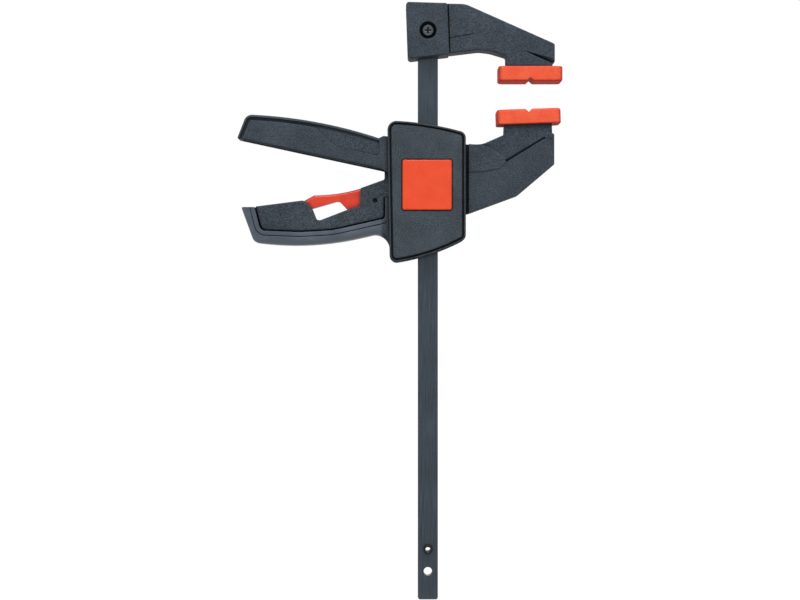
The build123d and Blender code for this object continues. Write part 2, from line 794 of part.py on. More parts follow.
with BuildPart() as handle_insert:
    with BuildSketch(on_jaw(0)) as inlay:
        add(inlay_outline())
        # neck that crosses the wall and hooks down behind it
        with Locations((insert_right, neck_top)):
            Rectangle(7.3, neck_hook + neck_top, align=(Align.MIN, Align.MAX))
        with Locations(pivot):
            Circle(fork_reach + 2 * seat_gap + 0.5, mode=Mode.SUBTRACT)
        with Locations((insert_right, strip_top + insert_gap)):
            Rectangle(
                -insert_right - cavity_left + insert_gap,
                12.0,
                align=(Align.MIN, Align.MAX),
                mode=Mode.SUBTRACT,
            )
        # finger window under the release lever
        with BuildLine():
            rounded(
                (-33.4, -36.0, 0),
                (-33.4, -48.2, 1.6),
                (-41.0, -50.3, 6.0),
                (-55.2, -55.8, 2.2),
                (-57.6, -49.6, 3.0),
                (-60.8, -45.8, 1.0),
                (-66.0, -44.5, 0),
                (-66.0, -36.0, 0),
            )
        make_face(mode=Mode.SUBTRACT)
        fillet(inlay.vertices().sort_by_distance((insert_right, -34.9))[0], neck_corner)
    extrude(amount=insert_depth / 2, both=True)
    fillet(
        handle_insert.edges()
        .filter_by(GeomType.LINE)
        .filter_by_position(Axis.X, bar_x - handle_reach, bar_x - 64.5)
        .filter_by_position(Axis.Z, -jaw_opening - 49.0, -jaw_opening - 45.0)
        .filter_by(Axis.Y, reverse=True),
        0.8,
    )
    # tongue that keeps it in the rim
    with BuildSketch(on_jaw(0)):
        add(inlay_outline(tongue_height))
        with Locations((-57, -58)):
            Rectangle(52, 10, mode=Mode.INTERSECT)
        add(inlay_outline(-0.5), mode=Mode.SUBTRACT)
    extrude(amount=tongue_depth / 2, both=True)
    # slot for the release lever
    with BuildSketch(on_jaw(0)):
        with BuildLine():
            Polyline(
                (-63.1, -38.0),
                (-31.5, -38.0),
                (-31.1, -39.0),
                (-24.5, -40.3),
                (wall + 1.0, strip_top - 0.6),
                (wall + 1.0, -58.0),
                (-26.5, -58.0),
                (-29.5, -51.6),
                (-43.0, -52.4),
                (-53.5, -54.8),
                (-63.1, -54.8),
                close=True,
            )
        make_face()
    extrude(amount=release_depth / 2 + release_play, both=True, mode=Mode.SUBTRACT)
    with BuildSketch(on_jaw(0)):
        with Locations((release_x, release_y)):
            Circle(release_pin_diameter / 2 + 0.02)
    extrude(amount=insert_depth, both=True, mode=Mode.SUBTRACT)


# Pins ---------------------------------------------------------------------------------------


def plain_pin(x, y, diameter, length):
    """Straight pin across the moving jaw, from front to back."""
    with BuildPart() as pin:
        with BuildSketch(on_jaw(0)):
            with Locations((x, y)):
                Circle(diameter / 2)
        extrude(amount=length / 2, both=True)
    return pin


trigger_pivot_pin = plain_pin(
    pivot_x, pivot_y, pivot_pin_diameter, body_depth + 2 * pivot_pin_bite
)
release_pivot_pin = plain_pin(
    release_x, release_y, release_pin_diameter, insert_depth - 2 * release_pin_sink
)


# Trigger ------------------------------------------------------------------------------------

trigger_half = trigger_depth / 2
hollow_half = trigger_half - trigger_wall
root_x = -housing_left - 1.8  # where the handle of the trigger meets its fork
grip_end = (-trigger_reach + 4.6, -2.7)
grip_back = (-59.3, -5.8)
grip_root = (root_x - 4.4, -13.8)
grip_tip = -14.6
grip_foot = -30.3
flank_end = root_x - 2.1


def grip_side(inset):
    """Side of the trigger's handle, below its rounded edge by inset and as far as its root."""
    corner = (grip_end[0] + 0.66 * inset, grip_end[1] - 1.02 * inset)
    with BuildSketch() as region:
        with BuildLine():
            root = (grip_root[0] - 0.29 * inset, grip_root[1] - 0.96 * inset)
            ThreePointArc(corner, (grip_back[0] - 0.15 * inset, grip_back[1] - inset), root)
            Polyline(
                root,
                (flank_end, root[1] - 0.3 * (flank_end - root[0])),
                (flank_end, -40.0),
                (corner[0] - 0.41 * (corner[1] + 40.0), -40.0),
                corner,
            )
        make_face()
        fillet(region.vertices().sort_by_distance(corner)[0], grip_round - inset)
    return region.sketch


with BuildPart() as trigger:
    # handle, rounded on its outer edges
    with BuildSketch(on_jaw(0)) as grip:
        with BuildLine():
            ThreePointArc(grip_end, grip_back, grip_root)
            Polyline(
                grip_root,
                (root_x - 2.4, -14.5),
                (root_x, -13.4),
                (root_x + 3.0, -14.0),
                (root_x + 3.0, -32.0),
                (root_x, grip_foot),
                (-trigger_reach, grip_tip),
                grip_end,
            )
        make_face()
        fillet(grip.vertices().sort_by_distance(grip_end)[0], grip_round)
        fillet(grip.vertices().sort_by_distance((-trigger_reach, grip_tip))[0], 0.6)
    extrude(amount=trigger_half, both=True)
    outer = trigger.faces().filter_by(Axis.Y).edges()
    outer = outer.filter_by_position(Axis.X, bar_x - trigger_reach, bar_x + root_x - 3.5)
    slope = (grip_tip - grip_foot) / (trigger_reach + root_x)
    outer = outer.filter_by(
        lambda edge: edge.center().Z + jaw_opening
        > grip_tip - slope * (edge.center().X - bar_x + trigger_reach) + 1.0
    )
    fillet(outer, trigger_edge)
    for side in (-1, 1):
        # channel that sets the rounded edge off from the side
        with BuildSketch(on_jaw(side * (trigger_half - trigger_channel_depth))):
            add(grip_side(trigger_channel_inset))
            add(grip_side(trigger_channel_inset + trigger_channel_width), mode=Mode.SUBTRACT)
        extrude(amount=-side * trigger_half, mode=Mode.SUBTRACT)
        # shallow flank above the root
        with BuildSketch(on_jaw(side * (trigger_half - trigger_flank_depth))):
            add(grip_side(trigger_channel_inset + trigger_channel_width / 2))
            with BuildLine():
                rounded(
                    (-56.0, 0.0, 0),
                    (-56.0, -9.0, 0),
                    (-51.6, -13.5, 3.0),
                    (-45.7, -18.7, 8.0),
                    (flank_end, -23.5, 1.4),
                    (flank_end, 0.0, 0),
                )
            make_face(mode=Mode.INTERSECT)
        extrude(amount=-side * trigger_half, mode=Mode.SUBTRACT)
    # fork
    with BuildSketch(on_jaw(0)):
        with BuildLine():
            Polyline(
                (root_x + 0.4, -13.5),
                (root_x + 5.1, -14.0),
                (pivot_x + 1.5, pivot_y + 3.25),
                (pivot_x, pivot_y),
                (pivot_x - 3.5, pivot_y + 1.5),
                (-nose_reach + pivot_x, pivot_y + 1.5),
                (root_x + 2.9, pivot_y + 1.9),
                (root_x + 0.4, pivot_y + 3.6),
                close=True,
            )
        make_face()
        with Locations(pivot):
            Circle(pivot_boss_radius)
        with Locations((pivot_x - nose_reach, pivot_y + nose_rise)):
            Circle(nose_radius)
    extrude(amount=trigger_half, both=True)
    # hollow under the roof, as far as the fork
    with BuildSketch(on_jaw(0)):
        with BuildLine():
            roof_end = (-trigger_reach + 4.6 + 2.0, -2.9 - trigger_roof)
            roof_root = (root_x - 2.4, -14.5 - trigger_roof)
            ThreePointArc(roof_end, (-59.3, -6.0 - trigger_roof), roof_root)
            Polyline(
                roof_root,
                (cavity_right, -14.5 - trigger_roof),
                (cavity_right, -40.0),
                (-trigger_reach + 2 * trigger_roof, -40.0),
                (-trigger_reach + trigger_roof, -14.0),
                roof_end,
            )
        make_face()
        with Locations(pivot):
            Circle(fork_reach, mode=Mode.SUBTRACT)
    extrude(amount=hollow_half, both=True, mode=Mode.SUBTRACT)
    # slot for the bar between the fork's sides
    with BuildSketch(on_jaw(0)):
        with Locations((-bar_width / 2 - 2.5, -25)):
            Rectangle(bar_width + 4.7, 40, align=(Align.MIN, Align.CENTER))
    extrude(amount=bar_thickness / 2 + fork_gap, both=True, mode=Mode.SUBTRACT)
    with BuildSketch(on_jaw(0)):
        with Locations(pivot):
            Circle(pivot_pin_diameter / 2 + pin_play)
    extrude(amount=trigger_depth, both=True, mode=Mode.SUBTRACT)


# Release lever ------------------------------------------------------------------------------

lever_nose = on_brake(
    -brake_contact,
    fulcrum_radius + fulcrum_gap + brake_plate_thickness + contact_gap + release_nose_radius,
)

with BuildPart() as release_lever:
    with BuildSketch(on_jaw(0)):
        with BuildLine():
            ThreePointArc((-56.6, -42.6), (-46.0, -41.9), (-33.4, -39.2))
            Polyline(
                (-33.4, -39.2),
                (-30.0, -40.0),
                (release_x + 1.0, release_y + release_hub_radius - 0.15),
                (release_x, release_y - 1.0),
                (release_x - 2.0, release_y - 3.0),
                (-33.8, -48.6),
                (-39.6, -50.4),
                (-43.9, -45.9),
                (-45.4, -45.8),
                (-57.2, -49.2),
                (-61.8, -50.4),
                (-62.5, -49.6),
                (-62.5, -47.2),
                (-61.7, -45.4),
                (-56.6, -42.6),
            )
        make_face()
        with Locations((release_x, release_y)):
            Circle(release_hub_radius)
    extrude(amount=release_depth / 2, both=True)
    # narrow arm that reaches into the housing, under the brake plate's tail
    with BuildSketch(on_jaw(0)):
        with BuildLine():
            Polyline(
                (release_x - 3.0, release_y - 2.0),
                (-22.4, -54.8),
                (-21.2, -58.6),
                (-18.6, -60.7),
                (lever_nose[0], lever_nose[1] - release_nose_radius),
                (lever_nose[0] - 0.9, lever_nose[1] + 0.94),
                (-18.5, -58.4),
                (-18.4, -52.8),
                (release_x + 3.4, release_y - 1.2),
                (release_x, release_y),
                close=True,
            )
        make_face()
        with Locations(lever_nose):
            Circle(release_nose_radius)
    extrude(amount=release_arm_depth / 2, both=True)
    top_edges = release_lever.faces().filter_by(Axis.Y).edges()
    top_edges = top_edges.filter_by_position(Axis.X, bar_x - 61, bar_x - 31)
    top_edges = top_edges.filter_by_position(Axis.Z, -jaw_opening - 45, -jaw_opening)
    fillet(top_edges, release_edge)
    with BuildSketch(on_jaw(0)):
        with Locations((release_x, release_y)):
            Circle(release_pin_diameter / 2 + pin_play)
    extrude(amount=release_depth, both=True, mode=Mode.SUBTRACT)


# Drive plate, brake plate and their springs ---------------------------------------------------

with BuildPart() as drive_plate:
    with BuildSketch(Plane.XY.offset(drive_plate_bottom - jaw_opening)):
        with Locations((bar_x - drive_plate_left, 0)):
            Rectangle(
                drive_plate_left + drive_plate_right,
                drive_plate_width,
                align=(Align.MIN, Align.CENTER),
            )
        with Locations((bar_x, 0)):
            Rectangle(bar_hole_width, bar_hole_thickness, mode=Mode.SUBTRACT)
    extrude(amount=drive_plate_thickness)

brake_top = fulcrum_radius + fulcrum_gap
brake_middle = brake_top + brake_plate_thickness / 2
brake_hole_x = (-fulcrum_x - brake_middle * sin(tilt)) / cos(tilt)
brake_hole = (bar_width + 2 * brake_play + brake_plate_thickness * sin(tilt)) / cos(tilt)
brake_plane = Plane(
    origin=(bar_x + fulcrum_x, 0, fulcrum_y - jaw_opening),
    x_dir=(cos(tilt), 0, sin(tilt)),
    z_dir=(-sin(tilt), 0, cos(tilt)),
)

with BuildPart() as brake_plate:
    with BuildSketch(brake_plane.offset(-brake_top)):
        with Locations((-brake_tail, 0)):
            Rectangle(
                brake_tail + brake_reach,
                brake_tail_width,
                align=(Align.MIN, Align.CENTER),
            )
        with Locations((brake_hole_x - brake_hole / 2 - 3.0, 0)):
            Rectangle(
                brake_reach - brake_hole_x + brake_hole / 2 + 3.0,
                brake_plate_width,
                align=(Align.MIN, Align.CENTER),
            )
        with Locations((brake_hole_x, 0)):
            Rectangle(brake_hole, bar_hole_thickness, mode=Mode.SUBTRACT)
    extrude(amount=-brake_plate_thickness)


def coil_spring(x, foot, head, wire, diameter, turns):
    """Spring from the height foot up to head, in half turns of wire with eight light flats."""
    halves = int(2 * turns)
    rise = (head - foot - wire) / halves
    radius = (diameter - wire) / 2
    bulge = sqrt(radius**2 + (rise / 2) ** 2)
    middle = bar_x + x
    with BuildPart() as spring:
        with BuildLine() as path:
            for half in range(halves):
                hand = 1 - 2 * (half % 2)
                level = foot + wire / 2 - jaw_opening + half * rise
                ThreePointArc(
                    (middle + hand * radius, 0, level),
                    (middle, hand * bulge, level + rise / 2),
                    (middle - hand * radius, 0, level + rise),
                )
        with BuildSketch(Plane(origin=path.line @ 0, z_dir=(0, 1, 0))):
            RegularPolygon(wire / 2, 8)
        sweep()
    return spring


drive_spring = coil_spring(
    0,
    ledge_top + 0.1,
    drive_plate_bottom - 0.1,
    drive_spring_wire,
    drive_spring_diameter,
    drive_spring_turns,
)
brake_spring_head = on_brake(
    (brake_spring_x - brake_spring_diameter / 2 - fulcrum_x) / cos(tilt),
    brake_top + brake_plate_thickness,
)
brake_spring = coil_spring(
    brake_spring_x,
    cavity_floor + 0.1,
    brake_spring_head[1] - 0.1,
    brake_spring_wire,
    brake_spring_diameter,
    brake_spring_turns,
)


# Files --------------------------------------------------------------------------------------

pieces = {
    "bar": bar,
    "fixed_jaw": fixed_jaw,
    "fixed_jaw_screw": fixed_jaw_screw,
    "fixed_jaw_nut": fixed_jaw_nut,
    "fixed_pad": fixed_pad,
    "stop_pin": stop_pin,
    "jaw_body": jaw_body,
    "front_cover": front_cover,
    "rear_cover": rear_cover,
    "badge_plate": badge_plate,
    "moving_pad": moving_pad,
    "handle_insert": handle_insert,
    "cover_screws": cover_screws,
    "trigger_pivot_pin": trigger_pivot_pin,
    "release_pivot_pin": release_pivot_pin,
    "drive_spring": drive_spring,
    "brake_spring": brake_spring,
    "trigger": trigger,
    "release_lever": release_lever,
    "drive_plate": drive_plate,
    "brake_plate": brake_plate,
}

os.makedirs("parts", exist_ok=True)
for name, piece in pieces.items():
    piece.part.label = name
    export_step(piece.part, f"parts/{name}.step")
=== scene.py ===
from math import cos, pi, radians, sin

import bpy
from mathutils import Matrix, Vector


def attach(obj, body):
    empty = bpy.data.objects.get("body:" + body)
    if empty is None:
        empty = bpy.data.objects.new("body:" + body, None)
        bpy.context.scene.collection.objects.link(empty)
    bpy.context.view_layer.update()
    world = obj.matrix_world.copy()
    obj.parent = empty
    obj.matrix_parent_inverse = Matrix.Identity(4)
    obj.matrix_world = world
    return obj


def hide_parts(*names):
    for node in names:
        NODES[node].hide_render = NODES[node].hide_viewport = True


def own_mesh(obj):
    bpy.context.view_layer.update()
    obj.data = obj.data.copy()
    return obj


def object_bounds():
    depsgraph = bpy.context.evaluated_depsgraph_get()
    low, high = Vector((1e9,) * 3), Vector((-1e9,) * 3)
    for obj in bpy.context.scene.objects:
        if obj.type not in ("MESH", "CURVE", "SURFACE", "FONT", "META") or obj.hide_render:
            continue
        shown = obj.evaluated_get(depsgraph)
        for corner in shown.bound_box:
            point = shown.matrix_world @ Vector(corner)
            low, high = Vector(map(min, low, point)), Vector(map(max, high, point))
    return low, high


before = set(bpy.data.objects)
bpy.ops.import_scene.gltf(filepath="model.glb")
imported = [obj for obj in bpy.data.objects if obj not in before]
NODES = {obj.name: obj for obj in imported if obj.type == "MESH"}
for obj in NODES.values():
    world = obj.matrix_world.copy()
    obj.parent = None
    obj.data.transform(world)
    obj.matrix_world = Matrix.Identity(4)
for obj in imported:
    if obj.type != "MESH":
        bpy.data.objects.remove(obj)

CAD_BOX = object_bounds()
MM = 0.001

# The moving jaw's own sizes count from the bar's axis and from the face of its pad.
BAR_X_MM = -50.9
PAD_Z_MM = -13.8
PALM_GRIP_RIGHT_MM = -73.1  # the palm rubs the fixed handle left of here

NOISE = "ShaderNodeTexNoise"
MAPPING = "ShaderNodeMapping"
GEOMETRY = "ShaderNodeNewGeometry"
SPLIT = "ShaderNodeSeparateXYZ"
MATH = "ShaderNodeMath"
RANGE = "ShaderNodeMapRange"  # sockets: value, from low, from high, to low, to high
MIX = "ShaderNodeMix"  # colour sockets: 0 amount, 6 first, 7 second; the mixed colour is output 2
BUMP = "ShaderNodeBump"
SHADER = "ShaderNodeBsdfPrincipled"
SURFACE = "ShaderNodeOutputMaterial"


# Node helpers ------------------------------------------------------------------------------


def linear(hex_colour):
    """An sRGB hex colour as linear red, green, blue and alpha."""
    levels = [int(hex_colour[i:i + 2], 16) / 255 for i in (1, 3, 5)]
    rgb = [c / 12.92 if c <= 0.04045 else ((c + 0.055) / 1.055) ** 2.4 for c in levels]
    return (*rgb, 1.0)


def add(tree, kind, inputs=(), **settings):
    """Adds one node with its settings and links, and returns its outputs.

    Inputs are values or other nodes' outputs, in the sockets' order or by name or number.
    """
    node = tree.nodes.new(kind)
    for field, value in settings.items():
        setattr(node, field, value)
    pairs = inputs.items() if isinstance(inputs, dict) else enumerate(inputs)
    for key, value in pairs:
        socket = node.inputs[key]
        if isinstance(value, bpy.types.NodeSocket):
            tree.links.new(value, socket)
        else:
            socket.default_value = value
    return node.outputs


def empty_tree(owner):
    """The node tree of a material or a world, with nothing in it."""
    owner.use_nodes = True
    owner.node_tree.nodes.clear()
    return owner.node_tree


def edges_worn_and_shaded(tree, radius_mm, share):
    """Normal of edges rounded to radius_mm, and a mask: share on edges, 0 on flats.

    A pale colour laid through the mask is edge wear; a dark one is painted shade.
    """
    flat_above, sharp_below = 0.985, 0.80  # cosine between the rounded and the plain normal
    rounded = add(tree, "ShaderNodeBevel", {"Radius": radius_mm * MM}, samples=6)[0]
    plain = add(tree, GEOMETRY)["Normal"]
    facing = add(tree, "ShaderNodeVectorMath", (rounded, plain), operation="DOT_PRODUCT")["Value"]
    return rounded, add(tree, RANGE, (facing, flat_above, sharp_below, 0.0, share))[0]


def crevice_shade(tree, reach_mm, open_above):
    """A mask for painted shade: near 1 deep in gaps under about reach_mm wide and 0 in the open."""
    fade, deepest = 0.42, 0.97
    reach = {"Distance": reach_mm * MM}
    openness = add(tree, "ShaderNodeAmbientOcclusion", reach, samples=8)["AO"]
    return add(tree, RANGE, (openness, open_above - fade, open_above, deepest, 0.0))[0]


def flank_shade(tree, share):
    """A mask for painted shade: share on faces round the outline, 0 on the flat front and back.

    Every hinge turns about Y, the depth, so the mask stays put in every pose.
    """
    side_below, flat_above = 0.55, 0.96
    depth = add(tree, SPLIT, [add(tree, GEOMETRY)["Normal"]])["Y"]
    size = add(tree, MATH, [depth], operation="ABSOLUTE")[0]
    return add(tree, RANGE, (size, side_below, flat_above, share, 0.0))[0]


# Finishes ----------------------------------------------------------------------------------


def moulded_nylon(
    name, dark, pale, edge_mm=0.4, edge="#69727b", edge_share=0.3, flank_shade_share=0.38, palmed=False
):
    """Glass-filled nylon from a spark-eroded mould.

    To the eye it is matt, speckled and a little cloudy, paler where hands scuff it and on worn
    edges, unless a dark edge colour paints shade there, and painted shade makes it near black
    round its outline and in every seam. Where palmed, its grip is worn smooth: greyer, satin and
    without grain, with a painted highlight where it faces down and painted shade where it faces up.
    """
    material = bpy.data.materials.new(name)
    tree = empty_tree(material)
    place = add(tree, "ShaderNodeTexCoord")["Object"]
    normal, edges = edges_worn_and_shaded(tree, edge_mm, edge_share)
    # Cloudiness of the filled plastic, blotches of the mould, and its grain, which is drawn
    # coarser than the real grain so that it shows.
    flow, blotches, grain = (
        add(tree, NOISE, {"Vector": place, "Scale": 1 / (size_mm * MM), "Detail": detail})[0]
        for size_mm, detail in ((14.0, 4.0), (2.6, 2.0), (0.48, 1.0))
    )
    cloudy = add(tree, RANGE, (flow, 0.35, 0.65, -0.12, 0.12))[0]
    patchy = add(tree, RANGE, (blotches, 0.35, 0.65, -0.06, 0.06))[0]
    speckled = add(tree, RANGE, (grain, 0.33, 0.67, 0.0, 1.0))[0]
    uneven = add(tree, MATH, (cloudy, patchy), operation="ADD")[0]
    shade = add(tree, MATH, (speckled, uneven), operation="ADD", use_clamp=True)[0]
    # Scratches 0.7 mm apart, dragged along the arms, show only in patches, as handling leaves
    # them.
    dragged = add(tree, MAPPING, {"Vector": place, "Scale": (0.12, 1.0, 0.9)})[0]
    strokes = add(tree, NOISE, {"Vector": dragged, "Scale": 1 / (0.7 * MM), "Detail": 2.0})[0]
    scratched = add(tree, RANGE, (strokes, 0.62, 0.72, 0.0, 1.0))[0]
    handled = add(tree, RANGE, (flow, 0.5, 0.66, 0.0, 0.3))[0]
    scuffs = add(tree, MATH, (scratched, handled), operation="MULTIPLY")[0]
    skin = linear(dark)
    for amount, colour in (
        (shade, pale),
        (scuffs, "#77818a"),  # scuffed nylon goes pale
        (flank_shade(tree, flank_shade_share), "#0f1317"),  # painted shade: near black on faces round the outline
    ):
        skin = add(tree, MIX, {0: amount, 6: skin, 7: linear(colour)}, data_type="RGBA")[2]
    rough = add(tree, RANGE, (grain, 0.3, 0.7, 0.62, 0.8))[0]
    grain_strength = 0.7
    if palmed:
        along = add(tree, SPLIT, [place])["X"]
        fades_from, full_at = PALM_GRIP_RIGHT_MM * MM, (PALM_GRIP_RIGHT_MM - 1.5) * MM
        buffed = add(tree, RANGE, (along, full_at, fades_from, 1.0, 0.0))[0]
        height = add(tree, SPLIT, [add(tree, GEOMETRY)["Normal"]])["Z"]
        grip_worn_and_lit = linear("#4b525d")
        # The grip's own tone, with painted light by which way each face turns.
        for pattern, colour in (
            ((flow, 0.4, 0.62, 0.0, 1.0), "#5a616c"),
            ((height, -0.08, -0.7, 0.0, 1.0), "#6a727c"),  # painted highlight: palest on the faces that turn down
            ((height, 0.2, 0.8, 0.0, 0.5), "#1f2429"),  # painted shade: darker on the faces that turn up
        ):
            amount = add(tree, RANGE, pattern)[0]
            grip_worn_and_lit = add(tree, MIX, {0: amount, 6: grip_worn_and_lit, 7: linear(colour)}, data_type="RGBA")[2]
        skin = add(tree, MIX, {0: buffed, 6: skin, 7: grip_worn_and_lit}, data_type="RGBA")[2]
        grain_strength = add(tree, RANGE, (buffed, 0.0, 1.0, 0.7, 0.12))[0]
        sheen = add(tree, RANGE, (buffed, 0.0, 1.0, 0.0, 0.3))[0]
        rough = add(tree, MATH, (rough, sheen), operation="SUBTRACT")[0]
    # Edges take the edge colour: wear where it is pale, painted shade where it is dark. Painted
    # shade makes each seam and gap near black.
    seam_shade = crevice_shade(tree, reach_mm=3.0, open_above=0.82)
    for amount, colour in ((edges, edge), (seam_shade, "#06080a")):
        skin = add(tree, MIX, {0: amount, 6: skin, 7: linear(colour)}, data_type="RGBA")[2]
    relief = {"Height": grain, "Distance": 0.05 * MM, "Strength": grain_strength, "Normal": normal}
    pitted = add(tree, BUMP, relief)[0]
    nylon = {"IOR": 1.53, "Specular IOR Level": 0.15}
    look = {"Base Color": skin, "Roughness": rough, "Normal": pitted, **nylon}
    add(tree, SURFACE, {"Surface": add(tree, SHADER, look)["BSDF"]})
    return material


def drawn_steel(name, dark, bright, lengthwise, roughness=0.4, open_above=0.72):
    """Cold-drawn steel, blackened or left as drawn.

    To the eye it is a dark metal with fine streaks along its length, which is the axis that
    lengthwise makes smallest, cloudy stains and bare metal on its edges, with painted shade near
    black round its outline and in its corners.
    """
    material = bpy.data.materials.new(name)
    tree = empty_tree(material)
    place = add(tree, "ShaderNodeTexCoord")["Object"]
    normal, edges = edges_worn_and_shaded(tree, radius_mm=0.3, share=0.3)
    drawn = add(tree, MAPPING, {"Vector": place, "Scale": lengthwise})[0]
    # Streaks are drawn 0.5 mm apart, coarser than the real ones, so that they show.
    streaks, stains, specks = (
        add(tree, NOISE, {"Vector": vector, "Scale": 1 / (size_mm * MM), "Detail": 3.0})[0]
        for vector, size_mm in ((drawn, 0.5), (place, 22.0), (place, 1.1))
    )
    metal = linear(dark)
    for amount, colour in (
        (add(tree, RANGE, (streaks, 0.35, 0.68, 0.0, 0.8))[0], bright),
        (add(tree, RANGE, (stains, 0.45, 0.75, 0.0, 0.35))[0], bright),
        (add(tree, RANGE, (specks, 0.55, 0.75, 0.0, 0.4))[0], dark),
        # painted shade: near black on faces round the outline
        (flank_shade(tree, 0.45), "#14181b"),
        (edges, "#8b9299"),  # bare metal
        # painted shade: near black in corners and recesses
        (crevice_shade(tree, reach_mm=2.0, open_above=open_above), "#0a0c0f"),
    ):
        metal = add(tree, MIX, {0: amount, 6: metal, 7: linear(colour)}, data_type="RGBA")[2]
    relief = {"Height": streaks, "Distance": 0.012 * MM, "Strength": 0.4, "Normal": normal}
    lined = add(tree, BUMP, relief)[0]
    rough = add(tree, RANGE, (streaks, 0.3, 0.7, roughness - 0.08, roughness + 0.1))[0]
    look = {"Base Color": metal, "Roughness": rough, "Normal": lined, "Metallic": 0.85}
    add(tree, SURFACE, {"Surface": add(tree, SHADER, look)["BSDF"]})
    return material


def red_moulding(
    name, flat, deep, edge, edge_mm, edge_share, flank_shade_share=0.75, roughness=0.72, gloss=0.3,
    reach_mm=1.6, open_above=0.72,
):
    """Red moulded rubber, plastic or enamel.

    To the eye it is an even bright red with a faint mottle, with painted shade that makes it darker
    red on its rounded edges and sides and almost maroon where it meets its neighbours.
    """
    material = bpy.data.materials.new(name)
    tree = empty_tree(material)
    place = add(tree, "ShaderNodeTexCoord")["Object"]
    normal, edges = edges_worn_and_shaded(tree, edge_mm, edge_share)
    # The grain is drawn at 0.8 mm, coarser than the real one, so that it shows.
    mottle, grain = (
        add(tree, NOISE, {"Vector": place, "Scale": 1 / (size_mm * MM), "Detail": 3.0})[0]
        for size_mm in (6.0, 0.8)
    )
    patchy = add(tree, RANGE, (mottle, 0.35, 0.65, -0.1, 0.8))[0]
    speckled = add(tree, RANGE, (grain, 0.38, 0.62, -0.2, 0.3))[0]
    shade = add(tree, MATH, (patchy, speckled), operation="ADD", use_clamp=True)[0]
    skin = linear(flat)
    for amount, colour in (
        (shade, deep),
        # painted shade: the edge colour on faces round the outline and on rounded edges
        (flank_shade(tree, flank_shade_share), edge),
        (edges, edge),
        # painted shade: almost maroon in gaps and where it meets its neighbours
        (crevice_shade(tree, reach_mm, open_above), "#5c0f10"),
    ):
        skin = add(tree, MIX, {0: amount, 6: skin, 7: linear(colour)}, data_type="RGBA")[2]
    relief = {"Height": grain, "Distance": 0.025 * MM, "Strength": 0.4, "Normal": normal}
    pebbled = add(tree, BUMP, relief)[0]
    rough = add(tree, RANGE, (grain, 0.3, 0.7, roughness - 0.06, roughness + 0.08))[0]
    plastic = {"IOR": 1.5, "Specular IOR Level": gloss}
    look = {"Base Color": skin, "Roughness": rough, "Normal": pebbled, **plastic}
    add(tree, SURFACE, {"Surface": add(tree, SHADER, look)["BSDF"]})
    return material


# Matt, speckled charcoal of the fixed jaw and the trigger.
charcoal = moulded_nylon("charcoal_moulded_nylon", "#262c33", "#47505a")
# The same for housing, arm and handle in one, its grip worn smooth and grey by the palm,
# with a painted highlight below and painted shade above.
charcoal_handled = moulded_nylon("charcoal_handled_nylon", "#242a31", "#464f58", palmed=True)
# Side plates: a little paler, with painted shade darkening the rounded edges that outline them.
charcoal_cover = moulded_nylon(
    "charcoal_cover_nylon", "#262d33", "#4c565d", edge_mm=1.1, edge="#0f1317", edge_share=0.75,
    flank_shade_share=0.6,
)
# Inlay of the handle: unrubbed, so darker and grainier than the rim round it.
charcoal_inlay = moulded_nylon("charcoal_inlay_nylon", "#232a30", "#48525a")
# Blackened flat bar, streaked from end to end.
bar_finish = drawn_steel("dark_drawn_steel", "#2b3238", "#424a52", lengthwise=(1, 1, 0.03))
# Hardened bare plates: the palest metal, streaked across the bar.
plate_finish = drawn_steel("hardened_plate_steel", "#5a5e62", "#74787c", lengthwise=(0.1, 1, 1))
# Black oxide on screws and nut: a dull dark grey, with painted shade that turns its recesses black.
screw_finish = drawn_steel(
    "black_oxide_steel", "#343a40", "#4d545a", lengthwise=(1, 1, 1), open_above=0.93
)
# Spring wire: mid grey with a low shine.
spring_finish = drawn_steel("patented_spring_wire", "#3c4046", "#5a5f65", lengthwise=(1, 0.1, 1))
# Blackened pins: nearly black and dull, with painted shade over almost all of them,
# so that they read as small dark dots.
pin_finish = drawn_steel(
    "blackened_pin_steel", "#0e1113", "#1d2125", lengthwise=(1, 0.1, 1), roughness=0.6,
    open_above=0.97,
)
# Soft pads: matt orange red, with painted shade that turns every rounded edge and side dark red.
pad_finish = red_moulding(
    "red_pad_elastomer", "#ee5f3b", "#e75130", "#a81a14", edge_mm=1.1, edge_share=0.85
)
# Lever: a deeper red with a satin shine, with painted shade that darkens its edges and sides and
# where it dips into the handle.
lever_finish = red_moulding(
    "red_lever_plastic", "#de3d20", "#cd3015", "#720f0a", edge_mm=0.5, edge_share=0.7,
    flank_shade_share=0.9, roughness=0.32, reach_mm=4.0, open_above=0.9,
)
# Badge plate: smooth bright enamel, the glossiest of the reds, with painted shade on its edges.
badge_finish = red_moulding(
    "red_badge_enamel", "#e9491d", "#e24218", "#b8230f", edge_mm=0.9, edge_share=0.7,
    roughness=0.25, gloss=0.25,
)

FINISHES = {
    charcoal: ("fixed_jaw", "trigger"),
    charcoal_handled: ("jaw_body",),
    charcoal_cover: ("front_cover", "rear_cover"),
    charcoal_inlay: ("handle_insert",),
    bar_finish: ("bar",),
    plate_finish: ("drive_plate", "brake_plate"),
    screw_finish: ("fixed_jaw_screw", "fixed_jaw_nut", "cover_screws"),
    spring_finish: ("drive_spring", "brake_spring"),
    pin_finish: ("stop_pin", "trigger_pivot_pin", "release_pivot_pin"),
    pad_finish: ("fixed_pad", "moving_pad"),
    lever_finish: ("release_lever",),
    badge_finish: ("badge_plate",),
}
for finish, names in FINISHES.items():
    for name in names:
        slots = NODES[name].data.materials
        slots.clear()
        slots.append(finish)


# Springs that follow their plates, and beads standing in for the shade in the inlay's seam -----


def fitted_spring(node):
    """The coil of a CAD spring, copied in its place and carried with the moving jaw."""
    coil = bpy.data.objects.new(node + "_coil", NODES[node].data.copy())
    bpy.context.scene.collection.objects.link(coil)
    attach(coil, "moving_jaw")
    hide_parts(node)
    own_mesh(coil)


